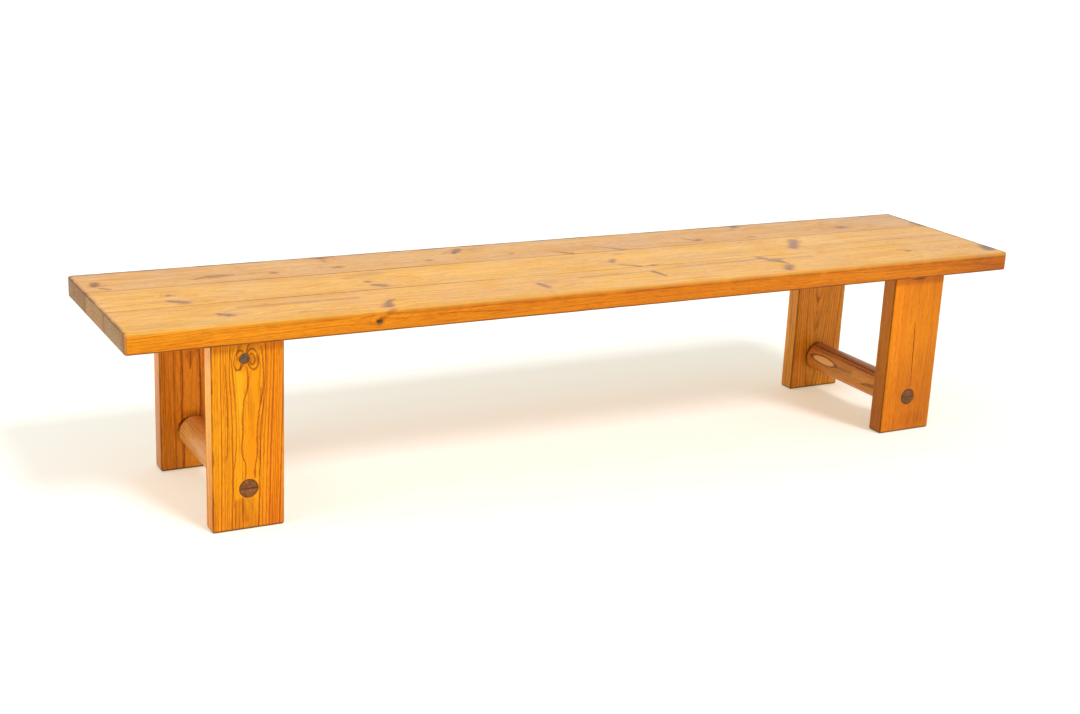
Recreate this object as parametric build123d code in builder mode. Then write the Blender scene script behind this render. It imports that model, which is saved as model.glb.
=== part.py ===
from build123d import *
import os

# A low pine bench. Three planks, joined edge to edge on loose tongues, make the seat. It stands
# on two pairs of slab legs. Each pair is tied near the floor by a turned stretcher, whose round
# tenons run right through the legs and are wedged there. A screwed batten under each end holds
# the planks level. X runs along the bench, +Y to the rear, Z up. The origin is on the floor,
# under the middle of the seat. All sizes are in millimetres.

# Seat
SEAT_LENGTH = 2100.0
SEAT_HEIGHT = 425.0
PLANK_WIDTH = 148.0
PLANK_THICKNESS = 43.0
PLANK_COUNT = 3
ARRIS_RADIUS = 4.0  # rounding of every edge that a hand meets
SEAM_EASING = 1.2  # small chamfer where two planks meet

# Loose tongues in the two seams of the seat, stopped short of the ends
TONGUE_LENGTH = 1900.0
TONGUE_WIDTH = 30.0
TONGUE_THICKNESS = 8.0
TONGUE_END_PLAY = 1.0  # between the tongue's edge and the bottom of its groove
FIT_CLEARANCE = 0.1  # all round a tenon or a screw, and above and below a tongue

# Legs
LEG_WIDTH = 145.0  # along the bench
LEG_THICKNESS = 42.0
LEG_END_INSET = 166.0  # from the end of the seat to the leg's outer side
LEG_FACE_INSET = 22.0  # from the long edge of the seat to the leg's outer face

# Blind tenons that hold the legs in the seat
STUB_LENGTH = 100.0
STUB_THICKNESS = 18.0
STUB_HEIGHT = 25.0
MORTISE_DEPTH = 27.0

# Stretchers
STRETCHER_DIAMETER = 70.0
STRETCHER_AXIS_HEIGHT = 85.0
SHOULDER_EASING = 3.0
TENON_DIAMETER = 38.0
KERF_DEPTH = 34.0  # saw cut in the end of each round tenon
KERF_MOUTH = 3.6
KERF_BOTTOM = 1.2
WEDGE_LENGTH = 30.0

# Battens under the ends of the seat
BATTEN_WIDTH = 60.0
BATTEN_THICKNESS = 28.0
BATTEN_END_GAP = 1.0  # between the batten and each leg
BATTEN_EASING = 2.0

# Wood screws that hold the battens
SCREW_LENGTH = 50.0
SCREW_DIAMETER = 5.0
SCREW_HEAD_DIAMETER = 10.0
COUNTERSINK_ANGLE = 90
PILOT_SPARE = 1.0  # air beyond the end of each screw
OUTER_SCREW_Y = 115.0  # from the middle of the seat to the screws in the outer planks
SCREW_DIRECTION = (0, 0, 1)

# Worked out from the sizes above
SEAT_WIDTH = PLANK_COUNT * PLANK_WIDTH
UNDERSIDE = SEAT_HEIGHT - PLANK_THICKNESS
PLANK_MIDDLE = SEAT_HEIGHT - PLANK_THICKNESS / 2
SEAM_Y = PLANK_WIDTH / 2
LEG_X = SEAT_LENGTH / 2 - LEG_END_INSET - LEG_WIDTH / 2
LEG_OUTER_Y = SEAT_WIDTH / 2 - LEG_FACE_INSET
LEG_INNER_Y = LEG_OUTER_Y - LEG_THICKNESS
LEG_Y = (LEG_OUTER_Y + LEG_INNER_Y) / 2
BATTEN_BOTTOM = UNDERSIDE - BATTEN_THICKNESS
BATTEN_LENGTH = 2 * (LEG_INNER_Y - BATTEN_END_GAP)
PILOT_DEPTH = SCREW_LENGTH - BATTEN_THICKNESS + PILOT_SPARE
HOLE_RADIUS = SCREW_DIAMETER / 2 + FIT_CLEARANCE

SIDES = {"left": -1, "right": 1}
FACES = {"front": -1, "rear": 1}
ROWS = {"front": -1, "middle": 0, "rear": 1}


def screw_places(side):
    """Plan positions of the three screws of one batten, one in each plank."""
    return [(side * LEG_X, row * OUTER_SCREW_Y) for row in ROWS.values()]


def save(part, label):
    part.label = label
    export_step(part, f"parts/{label}.step")


def seat_plank(label, row):
    """One plank of the seat. row is -1 at the front, 0 in the middle and 1 at the rear."""
    middle_y = row * PLANK_WIDTH
    seams = [side for side in (-1, 1) if side != row]
    with BuildPart() as plank:
        with BuildSketch(Plane.XY.offset(UNDERSIDE)):
            with Locations((0, middle_y)):
                Rectangle(SEAT_LENGTH, PLANK_WIDTH)
        extrude(amount=PLANK_THICKNESS)

        # Rounded arrises: both ends, and the long side that no other plank meets
        rounded = plank.edges().filter_by(Axis.Y)
        if row:
            outer_y = row * SEAT_WIDTH / 2
            outer_face = plank.faces().filter_by_position(Axis.Y, outer_y - 1, outer_y + 1)[0]
            rounded += outer_face.edges()
        fillet(rounded, ARRIS_RADIUS)

        # The sides that meet another plank are eased all round and grooved for a tongue
        for side in seams:
            seam_y = middle_y + side * PLANK_WIDTH / 2
            upright_faces = plank.faces().filter_by(Plane.XZ)
            seam_face = upright_faces.filter_by_position(Axis.Y, seam_y - 1, seam_y + 1)[0]
            chamfer(seam_face.edges(), SEAM_EASING)
            with BuildSketch(Plane.XY.offset(PLANK_MIDDLE)):
                with Locations((0, seam_y)):
                    SlotOverall(TONGUE_LENGTH + 2 * TONGUE_END_PLAY, TONGUE_WIDTH + 2 * TONGUE_END_PLAY)
            extrude(amount=TONGUE_THICKNESS / 2 + FIT_CLEARANCE, both=True, mode=Mode.SUBTRACT)

        # Blind mortises for the legs
        if row:
            with BuildSketch(Plane.XY.offset(UNDERSIDE)):
                with Locations([(side * LEG_X, row * LEG_Y) for side in SIDES.values()]):
                    Rectangle(STUB_LENGTH + 2 * FIT_CLEARANCE, STUB_THICKNESS + 2 * FIT_CLEARANCE)
            extrude(amount=MORTISE_DEPTH, mode=Mode.SUBTRACT)

        # A pilot hole over each batten
        with BuildSketch(Plane.XY.offset(UNDERSIDE)):
            with Locations([(side * LEG_X, row * OUTER_SCREW_Y) for side in SIDES.values()]):
                Circle(HOLE_RADIUS)
        extrude(amount=PILOT_DEPTH, mode=Mode.SUBTRACT)
    save(plank.part, label)


def seam_tongue(label, seam_y):
    """The loose tongue in one seam, half in each plank."""
    with BuildPart() as tongue:
        with BuildSketch(Plane.XY.offset(PLANK_MIDDLE)):
            with Locations((0, seam_y)):
                SlotOverall(TONGUE_LENGTH, TONGUE_WIDTH)
        extrude(amount=TONGUE_THICKNESS / 2, both=True)
    save(tongue.part, label)


def slab_leg(label, side, face):
    """A leg with a blind tenon at the top and a round hole for the stretcher's tenon."""
    with BuildPart() as leg:
        with BuildSketch(Plane.XY):
            with Locations((side * LEG_X, face * LEG_Y)):
                RectangleRounded(LEG_WIDTH, LEG_THICKNESS, ARRIS_RADIUS)
        extrude(amount=UNDERSIDE)
        fillet(leg.faces().sort_by(Axis.Z)[0].edges(), ARRIS_RADIUS)

        with BuildSketch(Plane.XY.offset(UNDERSIDE)):
            with Locations((side * LEG_X, face * LEG_Y)):
                Rectangle(STUB_LENGTH, STUB_THICKNESS)
        extrude(amount=STUB_HEIGHT)

        stretcher_axis = (side * LEG_X, face * LEG_Y, STRETCHER_AXIS_HEIGHT)
        with Locations(Plane(stretcher_axis, x_dir=(1, 0, 0), z_dir=(0, face, 0))):
            Hole(TENON_DIAMETER / 2 + FIT_CLEARANCE)
    save(leg.part, label)


def kerf_corners(face, depth):
    """Corners in Y and Z of the tapered saw cut in one end of a stretcher, down to the given depth."""
    mouth = KERF_MOUTH / 2
    bottom = mouth + (KERF_BOTTOM / 2 - mouth) * depth / KERF_DEPTH
    outer_y = face * LEG_OUTER_Y
    inner_y = face * (LEG_OUTER_Y - depth)
    axis_z = STRETCHER_AXIS_HEIGHT
    return [
        (outer_y, axis_z - mouth),
        (outer_y, axis_z + mouth),
        (inner_y, axis_z + bottom),
        (inner_y, axis_z - bottom),
    ]


def stretcher(label, side):
    """A turned rail with a thick middle, a shoulder at each leg and a sawn round tenon at each end."""
    axis_plane = Plane((side * LEG_X, 0, STRETCHER_AXIS_HEIGHT), x_dir=(0, 1, 0), z_dir=(1, 0, 0))
    with BuildPart() as rail:
        with BuildSketch(axis_plane) as half_section:
            with Locations((0, STRETCHER_DIAMETER / 4)):
                Rectangle(2 * LEG_INNER_Y, STRETCHER_DIAMETER / 2)
            chamfer(half_section.vertices().group_by(Axis.Z)[-1], SHOULDER_EASING)
            with Locations((0, TENON_DIAMETER / 4)):
                Rectangle(2 * LEG_OUTER_Y, TENON_DIAMETER / 2)
        revolve(axis=Axis((side * LEG_X, 0, STRETCHER_AXIS_HEIGHT), (0, 1, 0)))

        for face in FACES.values():
            with BuildSketch(Plane.YZ.offset(side * LEG_X)):
                with BuildLine():
                    Polyline(kerf_corners(face, KERF_DEPTH), close=True)
                make_face()
            extrude(amount=TENON_DIAMETER, both=True, mode=Mode.SUBTRACT)
    save(rail.part, label)


def tenon_wedge(label, side, face):
    """The wedge that spreads one round tenon, cut off flush with the leg."""
    mouth_plane = Plane(
        (side * LEG_X, face * LEG_OUTER_Y, STRETCHER_AXIS_HEIGHT), x_dir=(1, 0, 0), z_dir=(0, face, 0)
    )
    with BuildPart() as wedge:
        with BuildSketch(Plane.YZ.offset(side * LEG_X)):
            with BuildLine():
                Polyline(kerf_corners(face, WEDGE_LENGTH), close=True)
            make_face()
        extrude(amount=TENON_DIAMETER, both=True)
        with BuildSketch(mouth_plane):
            Circle(TENON_DIAMETER / 2)
        extrude(amount=-KERF_DEPTH, mode=Mode.INTERSECT)
    save(wedge.part, label)


def end_batten(label, side):
    """The batten across the planks between a pair of legs, countersunk for its screws."""
    with BuildPart() as batten:
        with BuildSketch(Plane.XY.offset(BATTEN_BOTTOM)):
            with Locations((side * LEG_X, 0)):
                Rectangle(BATTEN_WIDTH, BATTEN_LENGTH)
        extrude(amount=BATTEN_THICKNESS)
        chamfer(batten.faces().sort_by(Axis.Z)[0].edges(), BATTEN_EASING)
        for x, y in screw_places(side):
            with Locations(Plane((x, y, BATTEN_BOTTOM), z_dir=(0, 0, -1))):
                CounterSinkHole(
                    radius=HOLE_RADIUS,
                    counter_sink_radius=SCREW_HEAD_DIAMETER / 2,
                    depth=BATTEN_THICKNESS,
                    counter_sink_angle=COUNTERSINK_ANGLE,
                )
    save(batten.part, label)


def batten_screws(label, side):
    """Three countersunk screws, their heads level with the batten's lower face. The shank is plain
    all the way down, without the thread and the point of a real one."""
    head_radius = SCREW_HEAD_DIAMETER / 2
    shank_radius = SCREW_DIAMETER / 2
    with BuildPart() as screws:
        for x, y in screw_places(side):
            with BuildSketch(Plane((x, y, BATTEN_BOTTOM), x_dir=(1, 0, 0), z_dir=(0, -1, 0))):
                with BuildLine():
                    Polyline(
                        (0, 0),
                        (head_radius, 0),
                        (shank_radius, head_radius - shank_radius),
                        (shank_radius, SCREW_LENGTH),
                        (0, SCREW_LENGTH),
                        close=True,
                    )
                make_face()
            revolve(axis=Axis((x, y, BATTEN_BOTTOM), SCREW_DIRECTION))
    save(screws.part, label)


os.makedirs("parts", exist_ok=True)

for row_name, row in ROWS.items():
    seat_plank(f"seat_plank_{row_name}", row)
for face_name, face in FACES.items():
    seam_tongue(f"{face_name}_seam_tongue", face * SEAM_Y)

for side_name, side in SIDES.items():
    stretcher(f"{side_name}_stretcher", side)
    end_batten(f"{side_name}_batten", side)
    batten_screws(f"{side_name}_batten_screws", side)
    for face_name, face in FACES.items():
        slab_leg(f"{side_name}_{face_name}_leg", side, face)
        tenon_wedge(f"{side_name}_{face_name}_wedge", side, face)
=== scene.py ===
"""The looks of a low pine bench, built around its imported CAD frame. Lengths are in metres and in the
row frame: X along the bench, +Y to the rear, Z up. Inside the wood materials they are millimetres."""

import math
import random
from collections import namedtuple
from functools import partial

import bmesh
import bpy
from mathutils import Matrix, Vector, noise


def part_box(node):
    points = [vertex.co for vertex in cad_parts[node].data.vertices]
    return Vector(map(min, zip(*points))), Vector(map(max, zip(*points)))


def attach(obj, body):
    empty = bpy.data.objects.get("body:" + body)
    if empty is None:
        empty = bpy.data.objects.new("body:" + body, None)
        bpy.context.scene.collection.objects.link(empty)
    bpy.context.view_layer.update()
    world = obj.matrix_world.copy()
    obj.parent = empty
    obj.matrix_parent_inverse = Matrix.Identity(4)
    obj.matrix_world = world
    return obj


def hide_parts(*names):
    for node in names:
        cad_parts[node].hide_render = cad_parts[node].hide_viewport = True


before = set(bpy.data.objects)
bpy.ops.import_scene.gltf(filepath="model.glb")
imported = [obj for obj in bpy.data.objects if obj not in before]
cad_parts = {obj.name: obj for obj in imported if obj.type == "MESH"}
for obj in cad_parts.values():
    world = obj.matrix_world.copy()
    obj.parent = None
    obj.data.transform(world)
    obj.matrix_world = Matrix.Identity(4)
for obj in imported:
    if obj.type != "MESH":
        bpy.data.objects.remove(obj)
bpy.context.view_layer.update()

MM = 0.001
BODY = "root"

# Shapes that the finish adds to the CAD sizes, all of them inside the CAD solids
ARRIS = 4 * MM  # rounding of the edges that a hand meets
ARC_STEPS = 6
SEAM_EASING = 1.6 * MM
CORNER = 8 * MM  # rounding of the four upright corners of the seat
FOOT_EASING = 5 * MM
SHOULDER_GAP = 0.5 * MM
STATION_STEP = 7 * MM  # along a plank
LEG_STATION_STEP = 8 * MM
SIDE_STEP = 12 * MM  # across a board
SUPPORT = 0.6 * MM  # a grid line this far inside each rounding keeps the flats flat
EDGE_LINE = 12 * MM  # a grid line this far from each broad face of a plank
WEAR_ROOM = 1.8 * MM  # what wear may add to the rounding of a leg
NEAR = 0.01 * MM  # closer than this counts as the same place

SIDES = {"left": -1, "right": 1}
FACES = {"front": -1, "rear": 1}
ROWS = {"front": -1, "middle": 0, "rear": 1}


# ---------------------------------------------------------------- sizes read from the frame


def middle(node):
    low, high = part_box(node)
    return (low + high) / 2


SEAT_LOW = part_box("seat_plank_front")[0]
SEAT_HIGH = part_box("seat_plank_rear")[1]
LEG_X = middle("right_stretcher").x
RAIL_Z = middle("right_stretcher").z
RAIL_LOW, RAIL_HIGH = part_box("right_stretcher")
RAIL_RADIUS = (RAIL_HIGH.z - RAIL_LOW.z) / 2
LEG_INNER_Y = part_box("right_rear_leg")[0].y
LEG_OUTER_Y = RAIL_HIGH.y
WEDGE_LOW, WEDGE_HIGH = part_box("right_rear_wedge")
TENON_RADIUS = (WEDGE_HIGH.x - WEDGE_LOW.x) / 2
SHOULDER_Z = SEAT_LOW.z
TONGUE_LOW, TONGUE_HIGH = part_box("front_seam_tongue")
GROOVE_ROOM = 1 * MM
STUB_HALF_LENGTH = 50 * MM
STUB_HALF_THICKNESS = 9 * MM
MORTISE_DEPTH = 27 * MM
FIT = 0.1 * MM


# ---------------------------------------------------------------- mesh helpers


def between(start, end, step):
    """Evenly spaced values from start to end, both included, no further apart than step."""
    count = max(1, math.ceil((end - start) / step - 1e-6))
    return [start + (end - start) * i / count for i in range(count + 1)]


QUARTER = [math.pi / 2 * i / ARC_STEPS for i in range(ARC_STEPS + 1)]


def arc(centre, radius, start_angle):
    """A quarter circle in the section's plane, both ends included, turning left."""
    turns = [start_angle + turn for turn in QUARTER]
    return [(centre[0] + radius * math.cos(t), centre[1] + radius * math.sin(t)) for t in turns]


def held(values, low, high):
    """Values moved into the span from low to high."""
    return [min(max(value, low), high) for value in values]


def section(low, high, radii, grid_u, grid_v):
    """A rounded rectangle as a closed list of (u, v). radii go round from the low corner, turning left.
    The grid lines keep their places, so that sections of one board join point to point."""
    (u0, v0), (u1, v1) = low, high
    a, b, c, d = radii
    points = [(u, v0) for u in held(grid_u, u0 + a, u1 - b)]
    points += arc((u1 - b, v0 + b), b, -math.pi / 2)
    points += [(u1, v) for v in held(grid_v, v0 + b, v1 - c)]
    points += arc((u1 - c, v1 - c), c, 0)
    points += [(u, v1) for u in reversed(held(grid_u, u0 + d, u1 - c))]
    points += arc((u0 + d, v1 - d), d, math.pi / 2)
    points += [(u0, v) for v in reversed(held(grid_v, v0 + a, v1 - d))]
    points += arc((u0 + a, v0 + a), a, math.pi)
    return points


def end_rounding(radius):
    """(distance from the end, inset of the section) pairs that round the end of a board."""
    pairs = [(radius * (1 - math.cos(t)), radius * (1 - math.sin(t))) for t in QUARTER]
    return pairs + [(radius + SUPPORT, 0)]


def bridge(bm, rings):
    """Joins closed rings of vertices one to the next with faces."""
    for outer, inner in zip(rings, rings[1:]):
        for i in range(len(outer)):
            j = (i + 1) % len(outer)
            bm.faces.new((outer[i], outer[j], inner[j], inner[i]))


def loft(bm, loops):
    """Joins closed loops of points one to the next, and closes both ends. Returns the vertices by loop."""
    rows = [[bm.verts.new(point) for point in loop] for loop in loops]
    bridge(bm, rows)
    bm.faces.new(list(reversed(rows[0])))
    bm.faces.new(rows[-1])
    return rows


def sink(bm, place, reach, normal, depth):
    """Sinks the faces within reach of a place that look along normal: a mortise or a groove."""
    low, high = place - reach, place + reach
    faces = []
    for face in bm.faces:
        centre = face.calc_center_median()
        inside = all(low[i] <= centre[i] <= high[i] for i in range(3))
        if inside and face.normal.dot(normal) > 0.99:
            faces.append(face)
    grown = bmesh.ops.extrude_face_region(bm, geom=faces)
    bmesh.ops.delete(bm, geom=faces, context="FACES")
    moved = [item for item in grown["geom"] if isinstance(item, bmesh.types.BMVert)]
    bmesh.ops.translate(bm, verts=moved, vec=-depth * normal)


def object_from(bm, name):
    """Turns a bmesh into an object whose faces look outward."""
    bmesh.ops.recalc_face_normals(bm, faces=bm.faces)
    mesh = bpy.data.meshes.new(name)
    bm.to_mesh(mesh)
    bm.free()
    made = bpy.data.objects.new(name, mesh)
    bpy.context.scene.collection.objects.link(made)
    return made


def smooth(mesh, sharp_angle):
    mesh.shade_smooth()
    mesh.set_sharp_from_angle(angle=math.radians(sharp_angle))


def piece_from(bm, name, sharp_angle=50):
    bmesh.ops.remove_doubles(bm, verts=bm.verts, dist=NEAR)
    piece = object_from(bm, name)
    smooth(piece.data, sharp_angle)
    return piece


def dress(piece, node, material):
    """Puts a finished piece in place of its CAD node."""
    piece.data.materials.append(material)
    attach(piece, BODY)
    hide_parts(node)


def drift(place, seed, reach):
    """Smooth noise from 0 to 1 along a board. reach is the distance over which it changes."""
    return 0.5 + 0.5 * max(-1.0, min(1.0, 1.6 * noise.noise(Vector((place / reach, seed * 7.31, 0.5)))))


Dent = namedtuple("Dent", "place width depth")


def dents(seed, low, high, count):
    """Places where an arris has been knocked."""
    dice = random.Random(seed)
    return [
        Dent(dice.uniform(low, high), dice.uniform(4, 11) * MM, dice.uniform(0.3, 1.3) * MM)
        for _ in range(count)
    ]


def worn_arris(place, seed, knocks):
    """Radius of an arris that hands and knees have worn unevenly."""
    knocked = sum(dent.depth * math.exp(-(((place - dent.place) / dent.width) ** 2)) for dent in knocks)
    return ARRIS + 0.9 * MM * drift(place, seed, 90 * MM) + knocked


# ---------------------------------------------------------------- seat planks


def corner_inset(depth):
    """How far the outer edge of the seat is drawn in, at this distance from its end."""
    missing = max(CORNER - depth, 0)
    return CORNER - math.sqrt(CORNER**2 - missing**2)


def plank_stations(low_x, high_x):
    """(x, inset) along a plank. Lines fall on the mortise and groove edges."""
    mortise = STUB_HALF_LENGTH + FIT
    groove = TONGUE_HIGH.x + GROOVE_ROOM
    stops = [low_x + CORNER + SUPPORT, -groove, -LEG_X - mortise, -LEG_X + mortise]
    stops += [-x for x in reversed(stops)]
    rounding = end_rounding(ARRIS)[:-1]
    rounding += [(depth, 0) for depth in between(ARRIS + SUPPORT, CORNER + SUPPORT, MM)]
    stations = [(low_x + depth, inset) for depth, inset in rounding[:-1]]
    for start, end in zip(stops, stops[1:]):
        stations += [(x, 0) for x in between(start, end, STATION_STEP)[:-1]]
    stations.append((stops[-1], 0))
    stations += [(high_x - depth, inset) for depth, inset in reversed(rounding[:-1])]
    return stations


def seat_plank(row_name, row, material):
    """One plank: worn arrises at the ends and on the outer long edge, small easings at the seams."""
    node = f"seat_plank_{row_name}"
    low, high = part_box(node)
    half = (TONGUE_HIGH.z - TONGUE_LOW.z) / 2 + FIT
    groove_z = (TONGUE_LOW.z + TONGUE_HIGH.z) / 2
    inner = [low.y + ARRIS + SUPPORT, high.y - ARRIS - SUPPORT]
    if row:
        leg_y = row * (LEG_INNER_Y + LEG_OUTER_Y) / 2
        edges = [leg_y - STUB_HALF_THICKNESS - FIT, leg_y + STUB_HALF_THICKNESS + FIT]
        inner = [inner[0], *edges, inner[1]]
    grid_y = [y for a, b in zip(inner, inner[1:]) for y in between(a, b, SIDE_STEP)[:-1]] + [inner[-1]]
    grid_z = [low.z + ARRIS + SUPPORT, low.z + EDGE_LINE, groove_z - half]
    grid_z += [groove_z + half, high.z - EDGE_LINE, high.z - ARRIS - SUPPORT]
    knocks = {edge: dents(f"{node}{edge}", low.x, high.x, 9) for edge in ("top", "bottom")}

    bm = bmesh.new()
    loops = []
    for x, inset in plank_stations(low.x, high.x):
        seam_inset = inset * SEAM_EASING / ARRIS
        drawn_in = corner_inset(min(x - low.x, high.x - x))
        seam_radius = max(SEAM_EASING - seam_inset, 0)
        top_radius = max(worn_arris(x, row + 3, knocks["top"]) - inset, 0)
        bottom_radius = max(worn_arris(x, row + 8, knocks["bottom"]) - inset, 0)
        insets = [seam_inset, seam_inset]
        radii = [seam_radius] * 4
        if row < 0:
            insets[0] = drawn_in
            radii[0], radii[3] = bottom_radius, top_radius
        if row > 0:
            insets[1] = drawn_in
            radii[1], radii[2] = bottom_radius, top_radius
        waste = 0.25 * MM * drift(x, row + 20, 160 * MM)
        near, far = (low.y + insets[0], low.z + inset), (high.y - insets[1], high.z - inset - waste)
        loops.append([(x, y, z) for y, z in section(near, far, radii, grid_y, grid_z)])
    loft(bm, loops)
    bmesh.ops.recalc_face_normals(bm, faces=bm.faces)
    bm.normal_update()

    if row:
        for side in SIDES.values():
            reach = Vector((STUB_HALF_LENGTH, STUB_HALF_THICKNESS, MM))
            place = Vector((side * LEG_X, leg_y, low.z))
            sink(bm, place, reach, Vector((0, 0, -1)), MORTISE_DEPTH)
    depth = (TONGUE_HIGH.y - TONGUE_LOW.y) / 2 + GROOVE_ROOM
    for seam in [side for side in (-1, 1) if side != row]:
        face_y = high.y if seam > 0 else low.y
        reach = Vector((TONGUE_HIGH.x + GROOVE_ROOM, MM, half))
        place = Vector((0, face_y, groove_z))
        sink(bm, place, reach, Vector((0, seam, 0)), depth)
    dress(piece_from(bm, f"{row_name}_seat_board"), node, material)


# ---------------------------------------------------------------- legs

HOLE_CELLS = 16  # grid cells along each side of the square patch round a tenon hole
HOLE_PATCH = 24 * MM  # half the side of that patch
CELL = 2 * HOLE_PATCH / HOLE_CELLS
PATCH_LOW, PATCH_HIGH = RAIL_Z - HOLE_PATCH, RAIL_Z + HOLE_PATCH
HOLE_RINGS = 3
RIM_EASING = 0.5 * MM
WALL_STEPS = 4

Crack = namedtuple("Crack", "top bottom width depth")  # top and bottom are (x, z) on the front face
DRYING_CRACK = Crack((810 * MM, 272 * MM), (817 * MM, 112 * MM), 1.5 * MM, 7 * MM)


def crack_at(z, crack):
    """Centre, half width and depth of a drying crack at height z, or None above and below it."""
    share = (crack.top[1] - z) / (crack.top[1] - crack.bottom[1])
    if not 0 < share < 1:
        return None
    swell = math.sin(math.pi * share) ** 0.6
    wander = 0.3 * MM * (drift(z, 77, 40 * MM) - 0.5)
    centre = crack.top[0] + (crack.bottom[0] - crack.top[0]) * share + wander
    return centre, crack.width / 2 * swell, crack.depth * swell


def open_crack(loop, z, crack, face_y, inward):
    """Moves three neighbouring points of a section apart and inward, to cut a crack into that face."""
    found = crack_at(z, crack)
    if found is None:
        return loop
    centre, half_width, depth = found
    on_face = [i for i, (x, y) in enumerate(loop) if abs(y - face_y) < NEAR]
    middle_x = (crack.top[0] + crack.bottom[0]) / 2
    nearest = min(on_face, key=lambda i: abs(loop[i][0] - middle_x))
    order = 1 if loop[nearest + 1][0] > loop[nearest][0] else -1
    cut = list(loop)
    cut[nearest] = (centre, face_y + inward * depth)
    cut[nearest - order] = (centre - half_width, face_y)
    cut[nearest + order] = (centre + half_width, face_y)
    return cut


def leg_stations():
    """(z, inset) up a leg. Lines fall on the square patch round the tenon hole."""
    stations = end_rounding(FOOT_EASING)
    stations += [(z, 0) for z in between(stations[-1][0], PATCH_LOW, LEG_STATION_STEP)[1:]]
    stations += [(PATCH_LOW + CELL * i, 0) for i in range(1, HOLE_CELLS + 1)]
    stations += [(z, 0) for z in between(PATCH_HIGH, SHOULDER_Z - 2 * MM, LEG_STATION_STEP)[1:]]
    return stations + [(SHOULDER_Z - SHOULDER_GAP, 0), (SHOULDER_Z, SHOULDER_GAP)]


def hole_patch(bm, corners, centre, face_y, inward):
    """Fills the square round a tenon hole with rings of faces, down to an eased rim.
    corners is the closed border of the square, as vertices. Returns the rim's inner ring."""
    angles = [math.atan2(v.co.z - centre[1], v.co.x - centre[0]) for v in corners]
    hole_radius = TENON_RADIUS + FIT
    mouth_radius = hole_radius + RIM_EASING

    def ring(radius, depth):
        return [
            bm.verts.new(
                (centre[0] + radius * math.cos(t), face_y + inward * depth, centre[1] + radius * math.sin(t))
            )
            for t in angles
        ]

    rings = [corners]
    for step in range(1, HOLE_RINGS):
        share = step / HOLE_RINGS
        row = []
        for vertex, angle in zip(corners, angles):
            x = vertex.co.x + (centre[0] + mouth_radius * math.cos(angle) - vertex.co.x) * share
            z = vertex.co.z + (centre[1] + mouth_radius * math.sin(angle) - vertex.co.z) * share
            row.append(bm.verts.new((x, face_y, z)))
        rings.append(row)
    rings.append(ring(mouth_radius, 0))
    rings.append(ring(hole_radius + 0.3 * RIM_EASING, 0.3 * RIM_EASING))
    rings.append(ring(hole_radius, RIM_EASING))
    bridge(bm, rings)
    return rings[-1]


def on_patch(vertex, face_y, centre_x):
    return abs(vertex.co.y - face_y) < NEAR and abs(vertex.co.x - centre_x) < HOLE_PATCH + NEAR


def clear_square(bm, square):
    """Removes the faces of a square patch, given as rows of vertices. Returns its border in order."""
    border = square[0][:-1] + [row[-1] for row in square[:-1]]
    border += list(reversed(square[-1]))[:-1] + [row[0] for row in reversed(square)][:-1]
    everything = {v for row in square for v in row}
    faces = {f for v in everything for f in v.link_faces if all(w in everything for w in f.verts)}
    bmesh.ops.delete(bm, geom=list(faces), context="FACES_ONLY")
    bmesh.ops.delete(bm, geom=list(everything - set(border)), context="VERTS")
    return border


def bore(bm, rows, stations, centre_x):
    """Cuts the round hole for a stretcher's tenon through both broad faces of a leg."""
    picked = [row for row, (z, _) in zip(rows, stations) if PATCH_LOW - NEAR <= z <= PATCH_HIGH + NEAR]
    ys = sorted({round(v.co.y, 6) for v in picked[0]})
    squares = [
        [
            sorted((v for v in row if on_patch(v, face_y, centre_x)), key=lambda v: v.co.x)
            for row in picked
        ]
        for face_y in (ys[0], ys[-1])
    ]
    rims = [
        hole_patch(bm, clear_square(bm, square), (centre_x, RAIL_Z), face_y, inward)
        for square, face_y, inward in zip(squares, (ys[0], ys[-1]), (1, -1))
    ]
    front_rim, rear_rim = rims
    walls = [front_rim]
    for step in range(1, WALL_STEPS):
        share = step / WALL_STEPS
        walls.append([bm.verts.new(a.co.lerp(b.co, share)) for a, b in zip(front_rim, rear_rim)])
    walls.append(rear_rim)
    bridge(bm, walls)


def slab_leg(side_name, side, face_name, material):
    """One leg: worn corners, an eased foot, and the hole for a stretcher's tenon."""
    node = f"{side_name}_{face_name}_leg"
    low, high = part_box(node)
    centre_x = side * LEG_X
    patch_x = centre_x - HOLE_PATCH
    margin = between(low.x + ARRIS + WEAR_ROOM + SUPPORT, patch_x, SIDE_STEP)[:-1]
    grid_x = margin + [patch_x + CELL * i for i in range(HOLE_CELLS + 1)]
    grid_x += [2 * centre_x - x for x in reversed(margin)]
    grid_y = between(low.y + ARRIS + SUPPORT, high.y - ARRIS - SUPPORT, SIDE_STEP)
    knocks = [dents(f"{node}{corner}", 0, SHOULDER_Z, 2) for corner in range(4)]
    seed = sum(map(ord, node)) % 97

    bm = bmesh.new()
    stations = leg_stations()
    loops = []
    for z, inset in stations:
        wear = [0.7 * worn_arris(z, seed + corner, knocks[corner]) + 0.3 * ARRIS for corner in range(4)]
        radii = [max(radius - inset, 0) for radius in wear]
        loop = section(
            (low.x + inset, low.y + inset), (high.x - inset, high.y - inset), radii, grid_x, grid_y
        )
        if node == "right_front_leg":
            loop = open_crack(loop, z, DRYING_CRACK, low.y, 1)
        loops.append([(x, y, z) for x, y in loop])
    rows = loft(bm, loops)
    bore(bm, rows, stations, centre_x)
    dress(piece_from(bm, f"{side_name}_{face_name}_post"), node, material)


# ---------------------------------------------------------------- stretchers

SHOULDER_ROUNDING = 6.5 * MM
RAIL_STATION_STEP = 9 * MM
RAIL_SEGMENTS = 96
TENON_RIM = 0.5 * MM
KERF_DEPTH = 34 * MM


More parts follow.
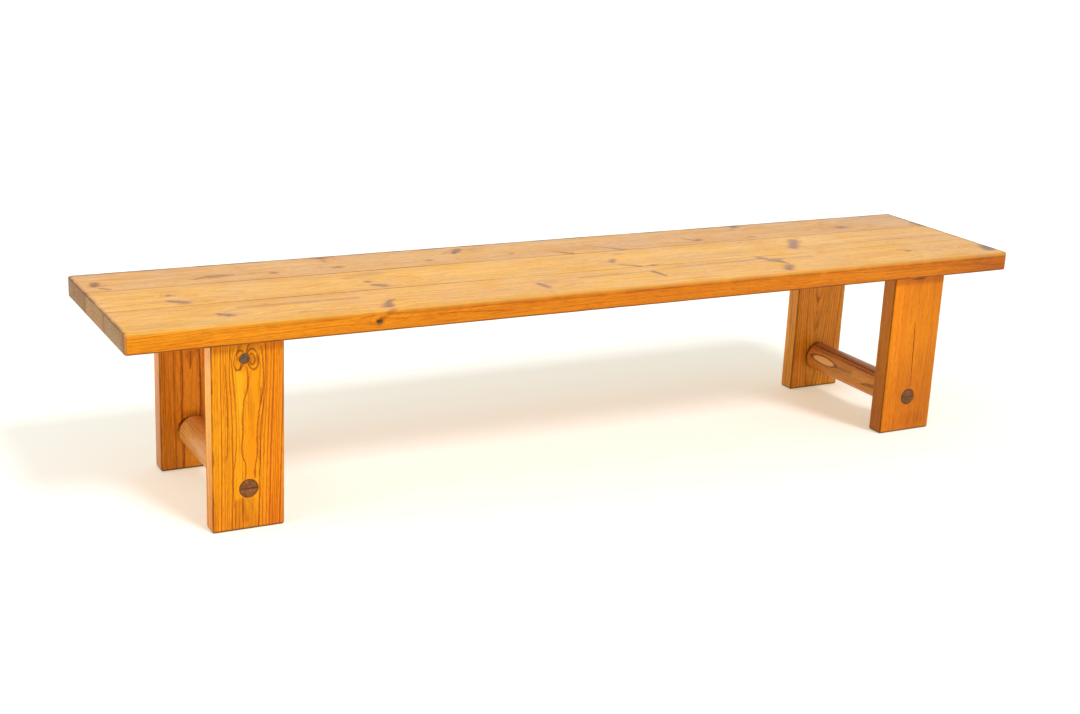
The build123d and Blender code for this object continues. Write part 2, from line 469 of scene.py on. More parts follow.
def rail_profile():
    """(y, radius) from the middle of a stretcher to one end."""
    start = LEG_INNER_Y - SHOULDER_ROUNDING
    profile = [(y, RAIL_RADIUS) for y in between(0, start, RAIL_STATION_STEP)]
    centre_radius = RAIL_RADIUS - SHOULDER_ROUNDING
    profile += [
        (start + SHOULDER_ROUNDING * math.sin(t), centre_radius + SHOULDER_ROUNDING * math.cos(t))
        for t in QUARTER[1:]
    ]
    profile += [(LEG_INNER_Y, TENON_RADIUS + 6 * MM), (LEG_INNER_Y, TENON_RADIUS)]
    end = LEG_OUTER_Y - 0.1 * MM
    profile += [(y, TENON_RADIUS) for y in between(LEG_INNER_Y, end - TENON_RIM, 8 * MM)[1:]]
    profile += [(end - 0.3 * TENON_RIM, TENON_RADIUS - 0.3 * TENON_RIM), (end, TENON_RADIUS - TENON_RIM)]
    return profile


def cut_kerfs(piece, centre_x):
    """Saws the tapered slots for the wedges into both ends of a stretcher."""
    bm = bmesh.new()
    for face_name, face in FACES.items():
        low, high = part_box(f"right_{face_name}_wedge")
        mouth = (high.z - low.z) / 2 + FIT / 2
        bottom = mouth / 3
        outer_y = face * (LEG_OUTER_Y + MM)
        inner_y = face * (LEG_OUTER_Y - KERF_DEPTH)
        corners = [
            (outer_y, RAIL_Z - mouth),
            (outer_y, RAIL_Z + mouth),
            (inner_y, RAIL_Z + bottom),
            (inner_y, RAIL_Z - bottom),
        ]
        sides = [
            [bm.verts.new((centre_x + reach, y, z)) for y, z in corners]
            for reach in (-TENON_RADIUS - MM, TENON_RADIUS + MM)
        ]
        bridge(bm, sides)
        bm.faces.new(sides[0])
        bm.faces.new(list(reversed(sides[1])))
    cutter = object_from(bm, "kerf_cutter")
    saw = piece.modifiers.new("kerfs", "BOOLEAN")
    saw.operation, saw.solver, saw.object = "DIFFERENCE", "EXACT", cutter
    bpy.context.view_layer.update()
    sawn = bpy.data.meshes.new_from_object(piece.evaluated_get(bpy.context.evaluated_depsgraph_get()))
    piece.modifiers.clear()
    piece.data = sawn
    bpy.data.objects.remove(cutter)
    smooth(sawn, 40)


def stretcher(side_name, side, material):
    """A turned rail with rounded shoulders and a sawn round tenon at each end."""
    node = f"{side_name}_stretcher"
    profile = rail_profile()
    profile = [(-y, r) for y, r in reversed(profile[1:])] + profile
    bm = bmesh.new()
    loops = []
    for y, radius in profile:
        loop = []
        for i in range(RAIL_SEGMENTS):
            turn = 2 * math.pi * i / RAIL_SEGMENTS
            swell = 1.2 * noise.noise(Vector((math.cos(turn), math.sin(turn), y / 0.12 + 9 * side)))
            shaved = 0.35 * MM * (0.5 + 0.5 * swell) if radius > TENON_RADIUS + MM else 0
            out = radius - shaved
            loop.append((side * LEG_X + out * math.sin(turn), y, RAIL_Z + out * math.cos(turn)))
        loops.append(loop)
    loft(bm, loops)
    piece = piece_from(bm, f"{side_name}_turned_rail", 35)
    cut_kerfs(piece, side * LEG_X)
    dress(piece, node, material)


# ---------------------------------------------------------------- shader helpers


class Value:
    """The output of a node. Arithmetic on it makes math nodes in the same graph."""

    def __init__(self, graph, socket):
        self.graph = graph
        self.socket = socket

    def __add__(self, other):
        return self.graph.math("ADD", self, other)

    def __sub__(self, other):
        return self.graph.math("SUBTRACT", self, other)

    def __rsub__(self, other):
        return self.graph.math("SUBTRACT", other, self)

    def __mul__(self, other):
        return self.graph.math("MULTIPLY", self, other)

    def __truediv__(self, other):
        return self.graph.math("DIVIDE", self, other)

    def __abs__(self):
        return self.graph.math("ABSOLUTE", self)

    def larger(self, other):
        return self.graph.math("MAXIMUM", self, other)

    def linear(self, factor, offset, clamp=False):
        """This value times a factor, plus an offset."""
        return self.graph.math("MULTIPLY_ADD", self, factor, offset, clamp=clamp)

    def step(self, low, high, to_low=0, to_high=1):
        """A smooth step from to_low at low to to_high at high."""
        made = self.graph.node("ShaderNodeMapRange", interpolation_type="SMOOTHSTEP")
        return self.graph.join(made, self, low, high, to_low, to_high)

    def scaled(self, factor):
        """A vector times a factor."""
        made = self.graph.node("ShaderNodeVectorMath", operation="SCALE")
        return self.graph.join(made, self, Scale=factor)

    def parts(self):
        """The X, Y and Z of a vector."""
        made = self.graph.node("ShaderNodeSeparateXYZ")
        self.graph.join(made, self)
        return [Value(self.graph, socket) for socket in made.outputs]


class Graph:
    """Makes and joins the nodes of one material, world or node group."""

    def __init__(self, tree):
        self.tree = tree

    def node(self, kind, **settings):
        made = self.tree.nodes.new(kind)
        for name, value in settings.items():
            setattr(made, name, value)
        return made

    def set(self, socket, value):
        if isinstance(value, Value):
            self.tree.links.new(value.socket, socket)
        else:
            socket.default_value = value

    def join(self, made, *values, output=0, **named):
        """Sets a node's inputs, by their order or by name, and returns one of its outputs."""
        for socket, value in zip(made.inputs, values):
            self.set(socket, value)
        for name, value in named.items():
            self.set(made.inputs[name], value)
        return Value(self, made.outputs[output])

    def source(self, kind, output):
        """An output of a node that needs no inputs."""
        return Value(self, self.node(kind).outputs[output])

    def math(self, operation, *values, clamp=False):
        return self.join(self.node("ShaderNodeMath", operation=operation, use_clamp=clamp), *values)

    def vector(self, operation, *values):
        output = "Value" if operation in ("LENGTH", "DOT_PRODUCT") else "Vector"
        return self.join(self.node("ShaderNodeVectorMath", operation=operation), *values, output=output)

    def combine(self, x, y, z):
        return self.join(self.node("ShaderNodeCombineXYZ"), x, y, z)

    def noise(self, place, detail=2.0, roughness=0.5, output=0):
        made = self.node("ShaderNodeTexNoise")
        return self.join(made, output=output, Vector=place, Scale=1.0, Detail=detail, Roughness=roughness)

    def noise_along(self, value, detail):
        """Noise that changes along one line only."""
        made = self.node("ShaderNodeTexNoise", noise_dimensions="1D")
        return self.join(made, W=value, Scale=1.0, Detail=detail)

    def dice(self, value):
        """A random number from 0 to 1 for each value."""
        made = self.node("ShaderNodeTexWhiteNoise", noise_dimensions="1D")
        return self.join(made, output="Value", W=value)

    def mix(self, share, a, b, mode="MIX"):
        made = self.node("ShaderNodeMix", data_type="RGBA", blend_type=mode)
        for index, value in ((0, share), (6, a), (7, b)):
            self.set(made.inputs[index], (*value, 1.0) if isinstance(value, tuple) else value)
        return Value(self, made.outputs[2])

    def toned(self, colour, level):
        """A colour made lighter or darker by a level."""
        return self.mix(1.0, colour, self.combine(level, level, level), "MULTIPLY")

    def bump(self, height, strength, distance):
        return self.join(self.node("ShaderNodeBump"), Strength=strength, Distance=distance, Height=height)


def largest(values):
    """The largest of some values, and 0 where none is above it."""
    top = 0.0
    for value in values:
        top = value.graph.math("MAXIMUM", top, value)
    return top


def new_material(name):
    """A material, its graph, and the inputs of its shader."""
    material = bpy.data.materials.new(name)
    material.use_nodes = True
    return material, Graph(material.node_tree), material.node_tree.nodes["Principled BSDF"].inputs


# ---------------------------------------------------------------- wood

# A knot or a stain: a stroke in space with a radius at each end
Mark = namedtuple("Mark", "start end start_radius end_radius strength softness", defaults=[0.5])
Finish = namedtuple(
    "Finish", "early late top_early top_late end_light end_dark knot_skin knot_light knot_dark softness"
)
Wood = namedtuple("Wood", "grain across depth pith drift bow ring phase wander contrast seed finish")

KNOT_REACH = 2.2  # a knot's halo ends at this many of its radii


def branch_group():
    """Where a point lies against one branch. Ratio is 1 on its skin. Pull is how far the fibres round
    it were pushed aside."""
    tree = bpy.data.node_groups.new("branch", "ShaderNodeTree")
    numbers = ("Start Radius", "End Radius", "Ratio")
    for name in ("Position", "Start", "End", "Start Radius", "End Radius", "Fibre", "Ratio", "Pull"):
        direction = "OUTPUT" if name in ("Ratio", "Pull") else "INPUT"
        kind = "NodeSocketFloat" if name in numbers else "NodeSocketVector"
        tree.interface.new_socket(name, in_out=direction, socket_type=kind)
    graph = Graph(tree)
    inside = {socket.name: Value(graph, socket) for socket in graph.node("NodeGroupInput").outputs}
    outside = graph.node("NodeGroupOutput").inputs

    axis = graph.vector("SUBTRACT", inside["End"], inside["Start"])
    offset = graph.vector("SUBTRACT", inside["Position"], inside["Start"])
    along = graph.vector("DOT_PRODUCT", offset, axis)
    share = graph.math("DIVIDE", along, graph.vector("DOT_PRODUCT", axis, axis), clamp=True)
    away = graph.vector("SUBTRACT", offset, axis.scaled(share))
    radius = (inside["End Radius"] - inside["Start Radius"]).linear(share, inside["Start Radius"])
    graph.set(outside["Ratio"], graph.vector("LENGTH", away) / radius)

    flow = graph.vector("LENGTH", graph.vector("MULTIPLY", away, inside["Fibre"])) / radius
    fall = graph.math("POWER", flow * 0.42, 3.0)
    graph.set(outside["Pull"], away.scaled(graph.math("DIVIDE", 0.82, fall + 1.0)))
    return tree


BRANCH_GROUP = branch_group()


def branch(graph, position, mark, fibre=(1.0, 1.0, 1.0)):
    """How a point lies against one mark: the group's Ratio and Pull."""
    made = graph.node("ShaderNodeGroup", node_tree=BRANCH_GROUP)
    radii = {"Start Radius": mark.start_radius, "End Radius": mark.end_radius}
    graph.join(made, Position=position, Start=mark.start, End=mark.end, Fibre=fibre, **radii)
    return [Value(graph, made.outputs[name]) for name in ("Ratio", "Pull")]


def knot_fields(graph, position, fibre, knots):
    """Pushes the fibres aside round every knot. Returns the moved position, and how deep in a knot a
    point lies: KNOT_REACH at its heart, 0 outside its halo, and less all over in a faint knot."""
    depth = 0.0
    for knot in knots:
        ratio, pull = branch(graph, position, knot, fibre)
        depth = graph.math("MAXIMUM", depth, ratio.linear(-knot.strength, KNOT_REACH * knot.strength))
        position = graph.vector("SUBTRACT", position, pull)
    return position, depth


def growth_rings(graph, position, wood):
    """The darkness of the latewood at a point, and the number of the ring it lies in."""
    parts = dict(zip("XYZ", position.parts()))
    along, across, depth = parts[wood.grain], parts[wood.across], parts[wood.depth]
    share = along * 0.001
    squares = []
    for place, pith, slope, bow in zip((across, depth), wood.pith, wood.drift, wood.bow):
        offset = place - share.linear(share.linear(bow, slope), pith)
        squares.append(offset * offset)
    slow = graph.combine(along * 0.006, across * 0.03, depth.linear(0.03, wood.seed))
    quick = graph.combine(along * 0.04, across * 0.22, depth.linear(0.22, wood.seed))
    wander = graph.noise(slow, 1.0).linear(2 * wood.wander, -wood.wander)
    shiver = graph.noise(quick, 1.0).linear(1.0, -0.5)
    radius = graph.math("SQRT", squares[0] + squares[1]) + (wander + shiver)
    uneven = graph.noise_along(radius.linear(0.11, wood.seed), 1.0)
    count = radius.linear(1 / wood.ring, wood.phase) + uneven * 1.5
    part, number = graph.math("FRACT", count), graph.math("FLOOR", count)
    sharp = graph.math("POWER", part.step(0.42, 0.90) * part.step(0.94, 1, 1, 0), 1.8)
    return sharp * graph.dice(number).linear(0.5, 0.5), number


def fibre_space(graph, position, wood, along, across):
    """The position shrunk by different amounts along and across the grain."""
    scale = tuple(along if axis == wood.grain else across for axis in "XYZ")
    moved = graph.vector("ADD", position, (wood.seed * 13.7, wood.seed * 7.9, wood.seed * 3.1))
    return graph.vector("MULTIPLY", moved, scale)


def arris_share(facing):
    """0 on a flat face that lies along an axis, rising over the rounding between two of them."""
    return largest(abs(part) for part in facing).step(0.84, 0.98, 1, 0)


def lower_arris_share(facing):
    """0 on walls and on the underside, 1 over the rounding between them."""
    return facing[2].step(-0.30, -0.08, 1, 0) * facing[2].step(-0.98, -0.85)


class Surface:
    """The face of a board: where a point lies, which way it looks, and its colour so far."""

    def __init__(self, graph):
        self.graph = graph
        self.colour = self.fibres = None
        self.position = graph.source("ShaderNodeTexCoord", "Object").scaled(1 / MM)
        rough = graph.noise(self.position.scaled(0.16), 3.0, output="Color")
        shaking = graph.vector("SUBTRACT", rough, (0.5, 0.5, 0.5))
        self.shaken = graph.vector("ADD", self.position, shaking.scaled(4.0))
        self.facing = graph.source("ShaderNodeNewGeometry", "Normal").parts()
        self.up = self.facing[2].step(0.08, 0.60)

    def to_left(self, *steps):
        """A step over how squarely the surface looks towards -X."""
        return (self.facing[0] * -1.0).step(*steps)

    def to_front(self, *steps):
        """A step over how squarely the surface looks towards -Y."""
        return (self.facing[1] * -1.0).step(*steps)

    def paint(self, amount, colour):
        """Lays this share of a colour over what is there."""
        self.colour = self.graph.mix(amount, self.colour, colour)

    def tint(self, amount, tint):
        """Multiplies this share of the colour by a tint."""
        self.paint(amount, self.graph.mix(1.0, self.colour, tint, "MULTIPLY"))

    def near(self, mark):
        """How strongly a soft stroke covers a point."""
        ratio, _ = branch(self.graph, self.shaken, mark)
        return ratio.step(1 - mark.softness, 1 + mark.softness, mark.strength, 0)

    def stain(self, tint, marks):
        """Darkens the colour by a tint along soft strokes, broken up by the fibres."""
        self.tint(largest(self.near(mark) for mark in marks) * self.fibres, tint)


def pine(name, wood, knots=(), marks=None, arris_shade=0.0):
    """Varnished pine: growth rings of one log through the whole piece, fibres, knots, end grain, and painted
    shade along the arrises where it is asked for.
    marks(surface) may add what is peculiar to one board."""
    finish = wood.finish
    material, graph, shader = new_material(name)
    surface = Surface(graph)
    position, facing, up = surface.position, surface.facing, surface.up

    # Fibres that flow round the knots, and growth rings that flow with them
    fibre = tuple(0.4 if axis == wood.grain else 1.0 for axis in "XYZ")
    flowing, knot_depth = knot_fields(graph, surface.shaken, fibre, knots)
    flowing = graph.vector("ADD", flowing, graph.vector("SUBTRACT", position, surface.shaken))
    late, number = growth_rings(graph, flowing, wood)

    def grain(along, across, *settings):
        return graph.noise(fibre_space(graph, flowing, wood, along, across), *settings)

    # Colour of the long grain: latewood lines, and darker, redder streaks of several sizes. What
    # looks up gets paler colours: painted light, standing in for the sheen and brighter light on the top
    broad = grain(0.0035, 0.024, 4.0, 0.66)
    streak = grain(0.010, 0.32, 3.0, 0.6)
    fleck = grain(0.055, 0.40, 3.0, 0.65)
    early, dark = finish.early, finish.late
    if finish.top_early != finish.early:
        early = graph.mix(up, finish.early, finish.top_early)
        dark = graph.mix(up, finish.late, finish.top_late)
    rings = graph.mix(late * wood.contrast, early, dark)
    surface.colour = graph.toned(rings, graph.dice(number + 0.5).linear(0.10, 0.95))
    shade = broad.step(0.36, 0.58, 0.34, 0) + streak.step(0.28, 0.52, 0.70, 0)
    shade = graph.math("ADD", shade, fleck.step(0.30, 0.54, 0.70, 0), clamp=True)
    surface.tint(shade, (0.76, 0.60, 0.46))

    # End grain shows where the surface faces along the fibres
    end = abs(facing["XYZ".index(wood.grain)]).step(0.45, 0.85)
    pores = graph.noise(position.scaled(0.16), 6.0, 0.72)
    end_colour = graph.mix(late, finish.end_light, finish.end_dark)
    surface.paint(end, graph.toned(end_colour, pores.step(0.32, 0.68, 0.55, 1.25)))

    # Knots: a reddish halo, a dark skin and a brown heart with its own rings
    if knots:
        soft = finish.softness
        surface.tint(knot_depth.step(0.1, 1.2, 0, 0.5), (0.88, 0.64, 0.50))
        surface.paint(knot_depth.step(1.2 - soft, 1.2 + soft), finish.knot_skin)
        mottle = graph.noise(position.scaled(0.13), 4.0, 0.6).step(0.36, 0.62)
        share = graph.math("FRACT", knot_depth * 3.4).linear(0.25, mottle)
        heart = graph.mix(share, finish.knot_light, finish.knot_dark)
        surface.paint(knot_depth.step(1.2, 1.25 + 2 * soft), heart)

    surface.fibres = grain(0.012, 0.28).step(0.36, 0.60, 0.45, 1)
    # Painted shade along the arrises and the lower roundings, which turn away from the light; the noise
    # called worn only breaks it into patches
    if arris_shade:
        arris = arris_share(facing).larger(lower_arris_share(facing)) * (1.0 - up)
        worn = graph.noise(fibre_space(graph, position, wood, 0.02, 0.02))
        surface.tint(arris * worn.step(0.34, 0.60, 0.6, arris_shade), (0.24, 0.18, 0.22))
    if marks:
        marks(surface)
    graph.set(shader["Base Color"], surface.colour)

    # Varnish, thinner on the end grain and rubbed in places
    rubbed = graph.noise(position.scaled(0.011), 3.0, 0.6).step(0.3, 0.75, 0.30, 0.44)
    graph.set(shader["Roughness"], end.linear(0.18, late.linear(-0.05, rubbed)))
    graph.set(shader["Specular IOR Level"], 0.5)
    graph.set(shader["Specular Tint"], (1.0, 0.60, 0.20, 1.0))

    # Relief: the hard latewood stands proud, the fibres leave fine grooves
    relief = streak.linear(0.5, fleck.linear(0.5, late * 0.7))
    if knots:
        relief = relief + knot_depth.step(1.1, 1.3, 0, 0.9)
    graph.set(shader["Normal"], graph.bump(relief, 0.6, 0.12 * MM))
    return material


# ---------------------------------------------------------------- places on this bench, in millimetres

TOP_Z = SEAT_HIGH.z / MM
END_X = SEAT_HIGH.x / MM
REAR_Y = SEAT_HIGH.y / MM
SEAM_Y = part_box("seat_plank_middle")[1].y / MM
FRONT_FACE_Y = -LEG_OUTER_Y / MM
REAR_FACE_Y = LEG_INNER_Y / MM


def on_top(x, y):
    return Vector((x, y, TOP_Z))


def on_left_end(y, z):
    return Vector((SEAT_LOW.x / MM, y, z))


def on_front_edge(x, z):
    return Vector((x, -REAR_Y, z))


def on_front_leg(x, z):
    return Vector((x, FRONT_FACE_Y, z))


def on_rear_leg(x, z):
    return Vector((x, REAR_FACE_Y, z))


def on_stretcher(side, y, angle):
    """The angle in degrees rises from the side that looks towards -X."""
    turn = math.radians(angle)
    out, up = RAIL_RADIUS / MM * math.cos(turn), RAIL_RADIUS / MM * math.sin(turn)
    return Vector((side * LEG_X / MM - out, y, RAIL_Z / MM + up))


def strokes(place, rows):
    """Stains on one face. A row holds two numbers for the place of each end, the width at each end,
    the strength, and the softness where it isn't 0.5."""
    return [Mark(place(*row[:2]), place(*row[2:4]), row[4] / 2, row[5] / 2, *row[6:]) for row in rows]


def through(x, y, length, width, strength=1.0, angle=0):
    """A knot whose branch passes down through a seat plank. length, width and angle are those of its
    oval on the top face: the flatter the branch lies, the longer the oval."""
    dip = math.asin(width / length)
    turn = math.radians(angle)
    along = Vector((math.cos(turn) * math.cos(dip), math.sin(turn) * math.cos(dip), -math.sin(dip)))
    reach = (SEAT_HIGH.z - SEAT_LOW.z) / MM / math.sin(dip)
    start, end = on_top(x, y) - along * width, on_top(x, y) + along * (reach + width)
    return Mark(start, end, width / 2, width / 2, strength)


def spike(start_x, start_y, end_x, end_y, start_width, end_width, strength=1.0):
    """A knot whose branch was sawn along its length and lies in the top face."""
    low = Vector((end_x, end_y, TOP_Z - 0.25 * end_width))
    return Mark(on_top(start_x, start_y), low, start_width / 2, end_width / 2, strength)


# ---------------------------------------------------------------- the boards of this bench

ENDS = ((0.32, 0.170, 0.045), (0.15, 0.072, 0.022))
SEAT_KNOT = ((0.44, 0.175, 0.022), (0.42, 0.175, 0.030), (0.19, 0.085, 0.020), 0.52)
LEG_KNOT = ((0.10, 0.032, 0.012), (0.20, 0.115, 0.062), (0.10, 0.058, 0.036), 0.10)
SEAT_EDGE = ((0.88, 0.300, 0.008), (0.55, 0.140, 0.004))


def even_finish(early, late, ends=ENDS):
    """A finish that is the same on every face."""
    return Finish(early, late, early, late, *ends, *LEG_KNOT)


# The seat's colours for the faces that look up are paler: painted light for the sheen and brighter light on
# the top
GOLDEN = Finish(*SEAT_EDGE, (1.00, 0.52, 0.045), (0.80, 0.33, 0.022), *ENDS, *SEAT_KNOT)
PINKISH = Finish(*SEAT_EDGE, (0.86, 0.445, 0.092), (0.66, 0.28, 0.046), *ENDS, *SEAT_KNOT)
LEG_GOLD = even_finish((1.00, 0.385, 0.006), (0.42, 0.085, 0.003))
LEG_ORANGE = even_finish((0.88, 0.275, 0.004), (0.50, 0.100, 0.003))
LEG_TAN = even_finish((0.98, 0.430, 0.032), (0.46, 0.130, 0.014))
LEG_BROWN = even_finish((0.95, 0.360, 0.022), (0.42, 0.105, 0.010))
RAIL_TAN_ENDS = ((0.34, 0.105, 0.034), (0.15, 0.052, 0.022))
RAIL_BROWN_ENDS = ((0.24, 0.082, 0.032), (0.12, 0.042, 0.021))
RAIL_TAN = even_finish((0.72, 0.345, 0.080), (0.38, 0.145, 0.028), RAIL_TAN_ENDS)
RAIL_BROWN = even_finish((0.76, 0.350, 0.068), (0.38, 0.125, 0.029), RAIL_BROWN_ENDS)
BIRCH = even_finish((0.66, 0.46, 0.26), (0.50, 0.32, 0.17), ((0.5, 0.34, 0.2), (0.36, 0.22, 0.12)))
HARDWOOD = even_finish((0.20, 0.075, 0.03), (0.13, 0.05, 0.02), ((0.11, 0.042, 0.02), (0.06, 0.024, 0.013)))

WOOD = {
    "front": Wood("X", "Y", "Z", (-158, 318), (-9, 5), (8, -5), 3.6, 0.1, 2.5, 0.75, 3.0, GOLDEN),
    "middle": Wood("X", "Y", "Z", (10, 300), (10, -6), (-9, 7), 3.9, 0.6, 2.5, 0.75, 11.0, GOLDEN),
    "rear": Wood("X", "Y", "Z", (176, 330), (-8, 6), (9, 4), 3.4, 0.3, 2.5, 0.75, 19.0, PINKISH),
    "left_front": Wood("Z", "X", "Y", (-808, -144.6), (18, -1), (0, 0), 3.0, 0.0, 0.6, 1.25, 5.0, LEG_GOLD),
    "left_rear": Wood("Z", "X", "Y", (-816, 260), (-10, 2), (0, 0), 3.4, 0.2, 0.8, 0.8, 23.0, LEG_BROWN),
    "right_front": Wood("Z", "X", "Y", (790, -330), (14, 8), (0, 0), 5.0, 0.5, 2.5, 0.28, 31.0, LEG_ORANGE),
    "right_rear": Wood("Z", "X", "Y", (798, 210), (24, -50), (0, 0), 4.2, 0.7, 2.5, 0.85, 41.0, LEG_TAN),
    "left": Wood("Y", "X", "Z", (-905, 60), (10, 8), (60, 0), 4.6, 0.2, 1.5, 0.5, 47.0, RAIL_TAN),
    "right": Wood("Y", "X", "Z", (896, 70), (-12, 9), (60, 0), 7.5, 0.4, 1.5, 0.35, 53.0, RAIL_BROWN),
    "tongue": Wood("X", "Y", "Z", (0, 300), (10, 5), (0, 0), 1.4, 0.0, 2.5, 0.4, 61.0, BIRCH),
    "batten": Wood("Y", "X", "Z", (800, 250), (16, 8), (0, 0), 3.2, 0.0, 2.5, 0.8, 67.0, LEG_BROWN),
    "wedge": Wood("Y", "X", "Z", (900, 140), (6, 6), (0, 0), 1.6, 0.0, 2.5, 0.5, 71.0, HARDWOOD),
}

KNOTS = {
    "rear": [
        spike(-1021, 121, -1014, 142, 13, 17, 1.25), spike(-1015, 107, -1001, 91, 6, 11, 0.95),
        spike(-822, 115, -790, 125, 7, 12, 0.9), spike(-790, 125, -744, 127, 12, 7, 0.9),
        through(-654, 117, 20, 13), through(-517, 205, 24, 18, 0.9), through(-512, 123, 26, 15),
        through(-301, 119, 18, 12), spike(-222, 158, -197, 190, 9, 18, 1.15),
        through(-101, 120, 16, 10, 0.9), spike(3, 108, 34, 81, 5, 14), spike(128, 115, 161, 82, 5, 15),
        spike(362, 134, 373, 122, 6, 8),
        through(384, 111, 25, 18), through(532, 100, 20, 9, 0.9), through(556, 206, 32, 22, 0.85),
        through(818, 122, 34, 26),
    ],
    "middle": [
        through(-903, 8, 20, 14, 0.9), spike(-912, -29, -888, -48, 14, 25), through(-496, -11, 16, 14),
        spike(-491, -36, -477, -47, 17, 23), spike(82, -18, 96, 1, 15, 17, 0.9),
        spike(84, -36, 122, -68, 4, 15), through(130, -71, 34, 8, 0.9, 8),
        spike(570, -24, 612, 34, 20, 28),
    ],
    "front": [
        spike(-852, -149, -834, -162, 10, 24),
        Mark(Vector((-556, -224, 401)), Vector((-544, -196, 412)), 5.8, 6.5, 1.25),
        spike(-508, -158, -534, -196, 8, 19, 0.9), spike(-162, -136, -157, -162, 13, 19, 0.95),
        spike(126, -121, 134, -160, 15, 8), spike(430, -84, 447, -112, 20, 17, 0.9),
        spike(447, -112, 463, -148, 15, 7, 0.9), spike(434, -194, 457, -163, 21, 22, 0.95),
        through(818, -135, 24, 11, 0.9), spike(1027, -181, 1038, -156, 26, 32, 1.15),
    ],
    "left_front": [Mark(Vector((-819, -206, 349)), Vector((-815, -150, 345)), 11, 9, 1.0)],
}

GREY = (0.70, 0.62, 0.80)
RED = (0.90, 0.70, 0.58)
DARK = (0.60, 0.46, 0.42)
SOOT = (0.26, 0.22, 0.28)
BROWN = (0.34, 0.22, 0.22)
UMBER = (0.62, 0.52, 0.55)

# Rows for strokes(), by tint
TOP_STAINS = {
    "rear": {
        GREY: [
            (-1008, 119, -1004, 119, 14, 14, 0.9), (-226, 168, -206, 180, 26, 26, 0.8, 0.7),
            (-165, 176, -153, 186, 26, 30, 0.5, 0.7), (-516, 196, -515, 171, 14, 8, 0.8),
            (-540, 206, -490, 208, 18, 18, 0.6, 0.7), (-1040, 160, -700, 166, 16, 10, 0.35, 0.8),
            (300, 176, 520, 172, 14, 18, 0.35, 0.8), (530, 172, 562, 210, 12, 22, 0.9, 0.7),
        ],
        RED: [
            (-700, 128, -650, 130, 6, 10, 0.9), (-234, 112, -229, 120, 8, 6, 1), (-8, 127, 3, 111, 6, 8, 1),
            (9, 130, 9, 138, 5, 5, 1), (116, 124, 129, 114, 8, 10, 1), (161, 81, 182, 73, 8, 6, 1),
            (369, 138, 368, 144, 8, 8, 1), (790, 158, 791, 168, 12, 12, 1),
            (1012, 86, 1040, 100, 14, 30, 0.9),
        ],
        SOOT: [(1042, 172, 1044, 138, 12, 14, 1), (1040, 114, 1043, 76, 18, 20, 1)],
    },
    "middle": {
        GREY: [
            (-524, 28, -450, 50, 20, 34, 0.8, 0.7), (-920, 38, -880, 38, 26, 26, 0.4, 0.8),
            (132, 45, 140, 45, 18, 18, 0.7, 0.7), (616, 42, 646, 60, 20, 10, 0.7),
        ],
        RED: [
            (-926, -4, -922, 1, 6, 5, 1), (62, -14, 80, -6, 14, 14, 1), (-520, -36, -494, -38, 5, 10, 0.9),
            (140, -70, 160, -66, 6, 5, 1), (560, -30, 574, -50, 16, 7, 1), (575, -21, 700, -22, 4, 5, 0.9),
        ],
        DARK: [
            (700, -22, 1036, -22, 4.5, 6, 0.8), (560, -14, 568, -40, 7, 8, 1),
            (880, -22, 896, -22, 7, 7, 1), (958, -22, 972, -23, 7, 7, 1),
        ],
        SOOT: [(1044, -16, 1044, -50, 10, 14, 1), (1044, 60, 1044, 66, 10, 10, 0.8)],
    },
    "front": {
        GREY: [
            (-800, -116, -560, -119, 13, 13, 1, 0.7), (-52, -118, 112, -116, 13, 14, 1, 0.7),
            (120, -112, 200, -106, 14, 12, 0.8, 0.7), (200, -104, 428, -96, 13, 12, 1, 0.7),
            (470, -108, 560, -108, 10, 9, 0.9, 0.7), (808, -122, 822, -122, 16, 14, 0.6, 0.7),
            (-150, -140, -120, -128, 12, 20, 0.6, 0.7), (1014, -188, 1040, -168, 24, 36, 0.8, 0.6),
        ],
        RED: [
            (-700, -186, -552, -194, 12, 10, 1, 0.7), (-420, -151, -350, -151, 9, 9, 0.9, 0.7),
            (-455, -119, -125, -119, 9, 9, 0.9, 0.7), (-158, -176, -152, -166, 12, 12, 1, 0.6),
            (-166, -208, -164, -196, 12, 12, 0.8, 0.7), (90, -195, 250, -195, 10, 10, 0.9, 0.7),
            (-880, -152, -850, -150, 6, 12, 0.9, 0.6), (-548, -206, -516, -196, 12, 10, 1, 0.6),
        ],
        DARK: [(-842, -170, -836, -162, 9, 11, 0.7), (-500, -160, -496, -156, 9, 9, 0.9)],
    },
}
END_STAINS = {
    "rear": [(216, 388, 212, 412, 9, 12, 1), (196, 388, 160, 404, 8, 10, 0.6, 0.7)],
    "middle": [(-66, 386, -62, 418, 9, 7, 0.8), (10, 386, 16, 420, 18, 14, 0.4, 0.8)],
    "front": [(-216, 386, -212, 416, 12, 14, 1), (-80, 388, -86, 414, 8, 6, 0.8)],
}
END_TINTS = {
    "rear": ((0.90, 0.72, 0.86), (0.78, 0.80, 0.74)),
    "middle": ((1.16, 0.98, 0.84), (1.02, 1.04, 0.88)),
    "front": ((0.96, 0.80, 0.66), (0.80, 0.86, 0.70)),
}
EDGE_KNOT = [(-556, 403, -552, 404, 8, 9, 1.1)]
EDGE_STAINS = [
    (-547, 410, -522, 424, 9, 12, 0.7, 0.7), (-560, 405, -551, 404, 3, 5, 0.8),
    (700, 408, 1000, 404, 5, 8, 0.5, 0.8), (560, 411, 690, 407, 2, 2, 0.6),
    (-430, 409, -270, 401, 2, 3, 0.6), (20, 418, 75, 413, 2, 3, 0.7),
]


def cut_end(surface, tints):
    """Reddish and greenish clouds in the end grain at the left end of the seat."""
    cloud = surface.graph.noise(surface.position.scaled(0.035), 3.0, 0.6)
    surface.tint(surface.to_left(0.5, 0.9), surface.graph.mix(cloud.step(0.42, 0.58), *tints))


